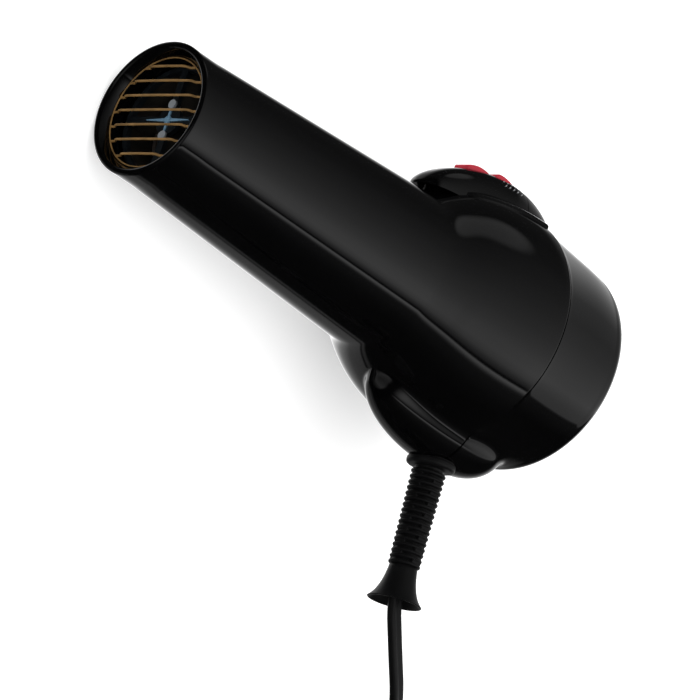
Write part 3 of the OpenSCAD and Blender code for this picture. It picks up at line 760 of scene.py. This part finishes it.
RELIEF_FACE_U = -58.4
RELIEF_S = 206.5
RELIEF_LEN = 61
RELIEF_BEADS = 17
RELIEF = (BARREL @ Matrix.Translation((RELIEF_FACE_U, 0, RELIEF_S))
          @ Matrix.Rotation(math.radians(4 - 90), 4, "Y"))


def make_strain_relief():
    """Flanged, beaded sleeve with a hollow bell; webs join the beads in turn on two pairs of sides."""
    bell = cubic((5.9, 46), (6.6, 53), (8.4, 58), (11.4, RELIEF_LEN - .3), 14)
    hollow = cubic((10.6, RELIEF_LEN), (7.6, 58), (6.1, 54), (5.4, 49), 12)
    outline = [(0.01, -8)] + [(6.7, -8), (6.7, 0), (9.6, .05)] + arc((8.9, 1.5), 1.4, -60, 0, 5)
    outline += arc((8.8, 2.2), 1.5, 0, 90, 6) + [(7.4, 3.75), (6.2, 4.1), (5.9, 5)]
    pitch = (RELIEF_LEN - 15 - 5) / RELIEF_BEADS
    for k in range(RELIEF_BEADS):
        start = 5 + k * pitch
        top = 7.25 - 0.035 * k
        root = 5.75 - 0.02 * k
        steps = ((root, .12), (top - .35, .2), (top, .38), (top, .56), (top - .35, .76), (root, .86))
        outline += [(r, start + share * pitch) for r, share in steps]
    outline += [tuple(p) for p in bell] + [(11.1, RELIEF_LEN + .05)] + [tuple(p) for p in hollow]
    outline += [(0.01, 48.8)]
    pieces = [lathe("sleeve", outline, 96, closed=False, matrix=RELIEF, smooth=48)]
    for k in range(RELIEF_BEADS - 1):
        start = 5 + (k + .7) * pitch
        side = turn_z(90 * (k % 2))
        for sign in (-1, 1):
            turn = side @ Matrix.Translation((sign * 5.6, 0, start))
            pieces.append(block("web", (-.9, -2.6, 0), (.95, 2.6, pitch * .6), .25, 2, matrix=RELIEF @ turn))
    return finish_piece(joined("lead_sleeve", pieces), "black_rubber", "strain_relief")


# ---- rear filter ----

FILTER_RIBS = 12
FILTER_GRIPS = 24
SCREEN_S = 244.25


def make_filter_cap():
    """Intake cover: rounded rings on radial ribs, a boss, and the skirt that twists into the housing."""
    back = OVERALL_S - .2
    pieces = []
    for r in (7, 13, 19, 25, 31):
        ring = arc((r + .75, back - .75), .75, -90, 180, 10) + [(r, back - 2.2), (r + 1.5, back - 2.2)]
        pieces.append(lathe("ring", ring, 128, body="filter_cover"))
    skirt = [(34.6, 239), (36.3, 239), (36.3, back - .8)] + arc((35.4, back - .8), .9, 0, 180, 8)
    skirt += [(34.6, back - 1.2)]
    pieces.append(lathe("skirt", skirt, 160, body="filter_cover"))
    boss = [(.01, back - 2.2), (3.6, back - 2.2), (3.6, back - .8)] + arc((2.8, back - .8), .8, 0, 90, 4)
    pieces.append(lathe("boss", boss + [(.01, back - .1)], 64, closed=False, body="filter_cover"))
    for k in range(FILTER_RIBS):
        turn = turn_z(360 / FILTER_RIBS * k)
        pieces.append(block("rib", (3, -.8, back - 2.3), (35, .8, back - .35), .35, 2, body="filter_cover",
                            matrix=BARREL @ turn))
    for k in range(FILTER_GRIPS):
        turn = turn_z(360 / FILTER_GRIPS * k)
        pieces.append(block("grip", (35.9, -.9, back - 3.2), (36.45, .9, back - 1.2), .2, 2,
                            body="filter_cover", matrix=BARREL @ turn))
    return finish_piece(joined("filter_cover_grille", pieces), "matte_black", "rear_filter_cap")


def make_filter_screen():
    """Woven wire screen: two sets of wires that pass over and under each other."""
    pitch, radius, wire = 2.0, 34.3, .16
    around = np.linspace(0, 2 * math.pi, 5, endpoint=False)
    section = [(wire * math.cos(t), wire * math.sin(t)) for t in around]
    count = int(radius / pitch)
    pieces = []
    for flip in (0, 1):
        for k in range(-count, count + 1):
            reach = math.sqrt(radius ** 2 - (k * pitch) ** 2)
            along = np.arange(-reach, reach, pitch / 2)
            wave = wire * np.cos(math.pi * (along / pitch + k + flip))
            fixed = np.full_like(along, k * pitch)
            across = (along, fixed) if flip else (fixed, along)
            line = np.stack([*across, SCREEN_S + wave], axis=1)
            if len(line) > 2:
                wide = np.array([0.0, 1.0, 0]) if flip else np.array([1.0, 0, 0])
                pieces.append(capped_tube("wire", line, section, lambda i, d, w=wide: w, body="filter_cover",
                                          smooth=80))
    rim = [(34.1, 243.7), (34.5, 243.7), (34.5, 244.8), (34.1, 244.8)]
    pieces.append(lathe("rim", rim, 128, body="filter_cover"))
    return finish_piece(joined("woven_screen", pieces), "bright_metal", "filter_screen")


def make_housing_screws():
    """Pan-headed screws with a cross recess, at the bottom of the rear recesses."""
    pieces = []
    floor_s = RECESS_FLOOR_S
    outline = [(.01, 200), (1.2, 200), (1.2, floor_s - 1), (2.55, floor_s - 1), (2.55, floor_s)]
    outline += arc((1.6, floor_s + .05), .95, 0, 90, 5) + [(.01, floor_s + 1.1)]
    for post in POSTS:
        screw = lathe("screw", outline, 40, closed=False, matrix=post)
        slots = [block("slot", (-1.6, -.28, floor_s + .2), (1.6, .28, floor_s + 2), matrix=post),
                 block("slot", (-.28, -1.6, floor_s + .2), (.28, 1.6, floor_s + 2), matrix=post)]
        pieces.append(cut(screw, slots))
    return finish_piece(joined("rear_screws", pieces), "bright_metal", "housing_screws")


# ---- tie and plug ----

PLUG_SIZE = (54, 28, 38)
PLUG_CENTRE = (-19, 222.7)
PLUG = (Matrix.Translation((PLUG_CENTRE[0] * MM, PLUG_CENTRE[1] * MM, PLUG_SIZE[2] * MM))
        @ Matrix.Rotation(math.pi, 4, "X") @ Matrix.Scale(MM, 4))
TEST_AT = -9
RESET_AT = 11
TIE_TURN = -50
TIE_AT = 36


def make_tie():
    """Hook-and-loop strap round the coil, with its end lapped over on the outside."""
    half_w, low, high, corner = 8.0, .45, 17.2, 2.2
    path = []
    for x, z, start in ((half_w - corner, high - corner, 90), (half_w - corner, low + corner, 0),
                        (corner - half_w, low + corner, -90), (corner - half_w, high - corner, -180)):
        path += arc((x, z), corner, start, start - 90, 6)
    path += [(-half_w * .3, high), (half_w * .6, high + .7)]
    path += [(half_w - corner * .4, high + .1 - corner * .3), (half_w + .75, high - 5)]
    line = np.array([(x, 0, z) for x, z in path])
    middle = Matrix.Translation((*COIL_CENTRE, 0)) @ turn_z(TIE_TURN)
    place = middle @ Matrix.Scale(MM, 4) @ Matrix.Translation((TIE_AT, 0, 0))
    section = [(-4.8, -.3), (-5, 0), (-4.8, .3), (4.8, .3), (5, 0), (4.8, -.3)]
    piece = capped_tube("lead_tie_strap", line, section, lambda i, d: np.array([0, 1.0, 0]), matrix=place,
                        smooth=50)
    return finish_piece(piece, "tie_strap", "lead_tie")


def make_plug():
    """Two-part plug housing with rounded edges, a framed panel for its buttons and finger ribs."""
    x, y, z = (v / 2 for v in PLUG_SIZE)
    height = PLUG_SIZE[2]
    body = block("half", (-x, -y, 0), (x, 5.9, height), 3.2, 5, matrix=PLUG)
    openings = [block("hole", (at - 4.2, -y - 1, z - 4.2), (at + 4.2, -y + 3, z + 4.2), .5, 2, matrix=PLUG)
                for at in (TEST_AT, RESET_AT)]
    cut(body, openings)
    shade(body, 35)
    pieces = [body]
    for left, right, low, high in ((-17, 19, -8, -7), (-17, 19, 7, 8), (-17, -16, -8, 8), (18, 19, -8, 8)):
        pieces.append(block("frame", (left, -y - .35, z + low), (right, -y + .5, z + high), .3, 2,
                            matrix=PLUG))
    for k in range(5):
        for low, high in ((.02, .6), (height - .6, height)):
            pieces.append(block("rib", (8 + 3 * k, -8, low), (9.2 + 3 * k, 3, high), .25, 2, matrix=PLUG))
    lid = block("lid", (-x, 6.1, 0), (x, y, height), 3.0, 5, matrix=PLUG)
    seam = block("seam", (-x + .8, 5, .8), (x - .8, 7, height - .8), 1.5, 3, matrix=PLUG)
    housing = joined("plug_housing", pieces + [seam])
    return [finish_piece(housing, "matte_black", "plug_body", "plug_circuit_board"),
            finish_piece(lid, "matte_black", "plug_cover")]


def make_button(name, at, body, slot, node):
    """A key's cap, at a place along the plug, standing 1.6 mm out of its face."""
    y, z = -PLUG_SIZE[1] / 2, PLUG_SIZE[2] / 2
    cap = block(name, (at - 3.9, y - 1.6, z - 3.9), (at + 3.9, y + 6, z + 3.9), .9, 4, body=body,
                matrix=PLUG)
    return finish_piece(cap, slot, node)


def make_plug_relief():
    """Short ribbed sleeve where the lead enters the plug."""
    place = (PLUG @ Matrix.Translation((-PLUG_SIZE[0] / 2, -1, PLUG_SIZE[2] / 2))
             @ Matrix.Rotation(math.radians(-90), 4, "Y"))
    outline = [(.01, -1.5), (4.5, -1.5), (4.5, .6)]
    for k in range(3):
        start = .9 + 1.7 * k
        outline += [(3.9, start), (3.9, start + .5), (4.5, start + .8), (4.5, start + 1.4)]
    outline += [(4.3, 6.0), (.01, 6.0)]
    piece = lathe("plug_sleeve", outline, 48, closed=False, matrix=place)
    return finish_piece(piece, "black_rubber", "plug_relief")


# ---- stage and light ----

FLOOR_GLOW = 0.4
EVEN_LIGHT = 1.35


def make_floor():
    """A pale floor that mirrors don't see."""
    mesh = bpy.data.meshes.new("floor")
    mesh.from_pydata([(-6, -6, 0), (6, -6, 0), (6, 6, 0), (-6, 6, 0)], [], [(0, 1, 2, 3)])
    floor = placed("floor", mesh)
    pale = material("floor", (.90, .90, .90), .8, spread=.01, grain=60, bump=.02)
    shader = pale.node_tree.nodes["Principled BSDF"]
    shader.inputs["Emission Color"].default_value = (1, 1, 1, 1)
    shader.inputs["Emission Strength"].default_value = FLOOR_GLOW
    paint(floor, pale)
    floor.visible_glossy = False


# What gloss sees of the studio, by angle round the barrel's axis: 0 at the switches' side, 90 overhead.
# Each fade is a range of the direction's forward share, which is 1 straight ahead of the outlet.
STUDIO = [(0, .03), (20, .06), (45, .15), (66, .27), (85, .43), (98, .60), (108, .78), (118, .86),
          (124, .68), (128, .36), (131, .18), (132, .02), (133.6, .02), (134.4, 1.3), (137, .7), (138.6, .2),
          (141, .08), (155, .03), (168, .012), (224, .012), (226, .12), (229, .18), (230, .02), (231.8, .02),
          (233, .24), (250, .2), (266, .45), (285, 1.3), (306, 1.3), (316, .25), (326, .02)]
STUDIO_FADE = (0.15, 0.45)
STUDIO_DIMMEST = 0.01
# The same for what lies behind the dryer, which lights the rounded edge of the rear
STUDIO_REAR = [(0, .42), (18, .25), (45, .25), (65, .36), (98, .64), (115, .75), (128, .52), (138, .45),
               (139.5, .06), (160, .012), (215, .015), (240, .2), (285, 1.1), (325, .9)]
REAR_FADE = (-0.78, -0.64)
# And for what lies in front of the outlet
STUDIO_FRONT = [(0, .01), (85, .015), (112, .25), (150, .40), (182, .14), (212, .02), (290, .01)]
FRONT_FADE = (0.60, 0.70)
RAMP_END = 359.9
# A small softbox that draws the edge of the pad under the switch pod: its direction (forward, side, up),
# the range of its soft edge, and its brightness
PAD_LIGHT = Vector((-.22, .20, .95))
PAD_LIGHT_SIZE = (0.955, 0.99)
PAD_LIGHT_LEVEL = 0.24


def make_light():
    """Even white light for everything that isn't a mirror, and a long gradient of softboxes for what is."""
    world = bpy.data.worlds.new("studio")
    bpy.context.scene.world = world
    world.use_nodes = True
    tree = world.node_tree
    tree.nodes.clear()
    direction = tree.nodes.new("ShaderNodeTexCoord")

    def share_of(vector):
        """How far the direction of sight points along a vector."""
        dot = tree.nodes.new("ShaderNodeVectorMath")
        dot.operation = "DOT_PRODUCT"
        dot.inputs[1].default_value = vector
        link(tree, direction.outputs["Generated"], dot.inputs[0])
        return dot.outputs["Value"]

    def math_node(operation, *inputs, kind="ShaderNodeMath"):
        node = tree.nodes.new(kind)
        node.operation = operation
        for socket, value in zip(node.inputs, inputs):
            if isinstance(value, (int, float)):
                socket.default_value = value
            else:
                link(tree, value, socket)
        return node.outputs[0]

    forward = share_of(FORWARD)
    angle = math_node("ARCTAN2", share_of(SIDE), share_of(UP))
    around = math_node("FRACT", math_node("DIVIDE", angle, 2 * math.pi))

    def studio_ramp(levels):
        """Brightness by angle, closed to a full turn."""
        ramp = tree.nodes.new("ShaderNodeValToRGB")
        stops = ramp.color_ramp.elements
        while len(stops) > 1:
            stops.remove(stops[-1])
        for k, (degrees, value) in enumerate(levels + [(RAMP_END, levels[0][1])]):
            stop = stops[0] if k == 0 else stops.new(degrees / 360)
            stop.position = degrees / 360
            stop.color = (value, value, value, 1)
        link(tree, around, ramp.inputs["Fac"])
        return ramp.outputs["Color"]

    def fade(value, ends, low=0.0, high=1.0):
        """Goes smoothly from low to high as the value passes from one end to the other."""
        node = tree.nodes.new("ShaderNodeMapRange")
        node.interpolation_type = "SMOOTHSTEP"
        node.inputs["From Min"].default_value, node.inputs["From Max"].default_value = ends
        node.inputs["To Min"].default_value, node.inputs["To Max"].default_value = low, high
        link(tree, value, node.inputs["Value"])
        return node.outputs["Result"]

    def blended(share, first, second):
        """The first colour where the share is 0, the second where it is 1."""
        node = tree.nodes.new("ShaderNodeMix")
        node.data_type = "RGBA"
        for name, value in (("Factor", share), ("A", first), ("B", second)):
            link(tree, value, node.inputs[name])
        return node.outputs["Result"]

    ramps = blended(fade(forward, REAR_FADE), studio_ramp(STUDIO_REAR), studio_ramp(STUDIO))
    toward = FORWARD * PAD_LIGHT[0] + SIDE * PAD_LIGHT[1] + UP * PAD_LIGHT[2]
    pad_light = fade(share_of(toward.normalized()), PAD_LIGHT_SIZE, high=PAD_LIGHT_LEVEL)
    total = math_node("ADD", ramps, pad_light, kind="ShaderNodeVectorMath")
    dimmed = tree.nodes.new("ShaderNodeVectorMath")
    dimmed.operation = "SCALE"
    link(tree, total, dimmed.inputs[0])
    link(tree, fade(forward, STUDIO_FADE, low=1.0, high=STUDIO_DIMMEST), dimmed.inputs["Scale"])
    mirrored = blended(fade(forward, FRONT_FADE), dimmed.outputs["Vector"], studio_ramp(STUDIO_FRONT))
    seen = tree.nodes.new("ShaderNodeBackground")
    link(tree, mirrored, seen.inputs["Color"])
    even = tree.nodes.new("ShaderNodeBackground")
    even.inputs["Color"].default_value = (1, 1, 1, 1)
    even.inputs["Strength"].default_value = EVEN_LIGHT
    ray = tree.nodes.new("ShaderNodeLightPath")
    mix = tree.nodes.new("ShaderNodeMixShader")
    link(tree, ray.outputs["Is Glossy Ray"], mix.inputs["Fac"])
    link(tree, even.outputs[0], mix.inputs[1])
    link(tree, seen.outputs[0], mix.inputs[2])
    output = tree.nodes.new("ShaderNodeOutputWorld")
    link(tree, mix.outputs[0], output.inputs["Surface"])
    bpy.context.scene.view_settings.view_transform = "Standard"


make_front_housing()
make_rear_housing()
make_switch_pod()
make_rocker("speed_rocker_cap", SPEED_AT, length=14.6, crown_h=5.2, tilt=6, body="speed_switch",
            node="speed_rocker")
make_rocker("heat_rocker_cap", HEAT_AT, length=13.6, crown_h=6.1, tilt=-9, body="heat_switch",
            node="heat_rocker")
make_marks()
make_outlet_wires()
make_hub_star()
make_outlet_ring()
make_strain_relief()
make_filter_cap()
make_filter_screen()
make_housing_screws()
tie = make_tie()
plug_pieces = make_plug()
plug_pieces += [make_button("test_button_cap", TEST_AT, "test_key", "matte_black", "test_button"),
                make_button("reset_button_cap", RESET_AT, "reset_key", "red_plastic", "reset_button"),
                make_plug_relief(), frame["nodes"]["plug_blades"], frame["nodes"]["plug_screws"]]
make_floor()
make_light()
